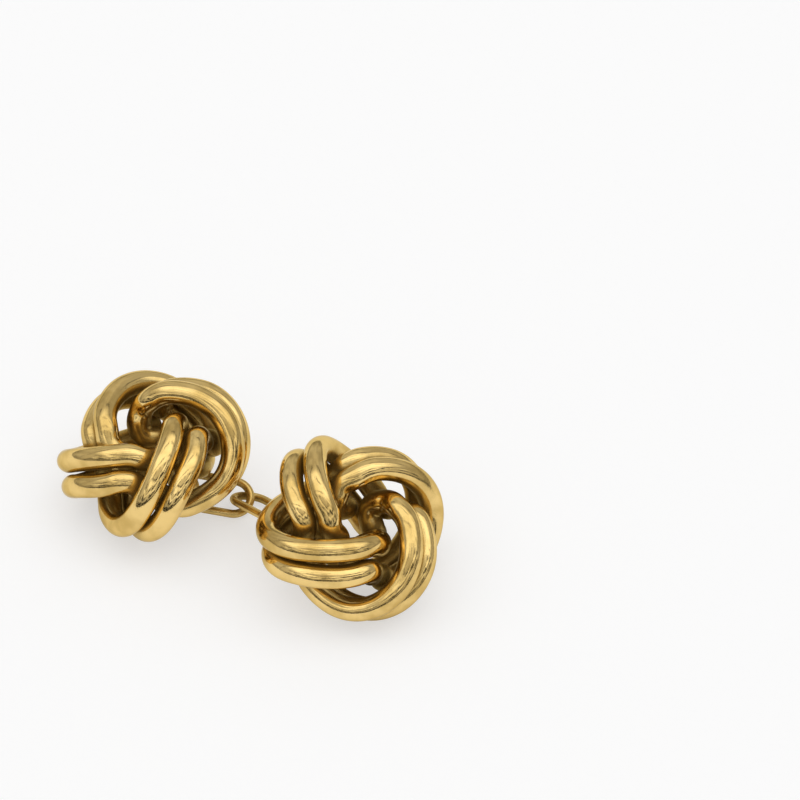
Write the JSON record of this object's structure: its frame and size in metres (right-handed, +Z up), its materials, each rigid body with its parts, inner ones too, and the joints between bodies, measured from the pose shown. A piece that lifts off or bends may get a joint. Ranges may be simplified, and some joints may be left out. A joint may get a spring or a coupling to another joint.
{
  "type": "knot cufflink",
  "caption": "Gold cufflink with a love knot of doubled round tube at each end, joined at the back by a short chain.",
  "frame": {"origin": "on the table, midway between the two heads, at the bottom centre of the bounding box", "axes": "+Z up from the table; +X from the left head to the right head as seen from the front; front towards -Y"},
  "size_m": [0.0291, 0.0219, 0.0108],
  "materials": {
    "tube": "polished yellow gold",
    "wire": "polished yellow gold"
  },
  "bodies": {
    "root": {"left_tube1": "tube", "left_tube2": "tube", "left_tube3": "tube", "left_tube4": "tube", "right_tube1": "tube", "right_tube2": "tube", "right_tube3": "tube", "right_tube4": "tube", "left_back_ring": "wire", "right_back_ring": "wire", "chain_link_1": "wire", "chain_link_2": "wire", "chain_link_3": "wire"}
  },
  "joints": []
}
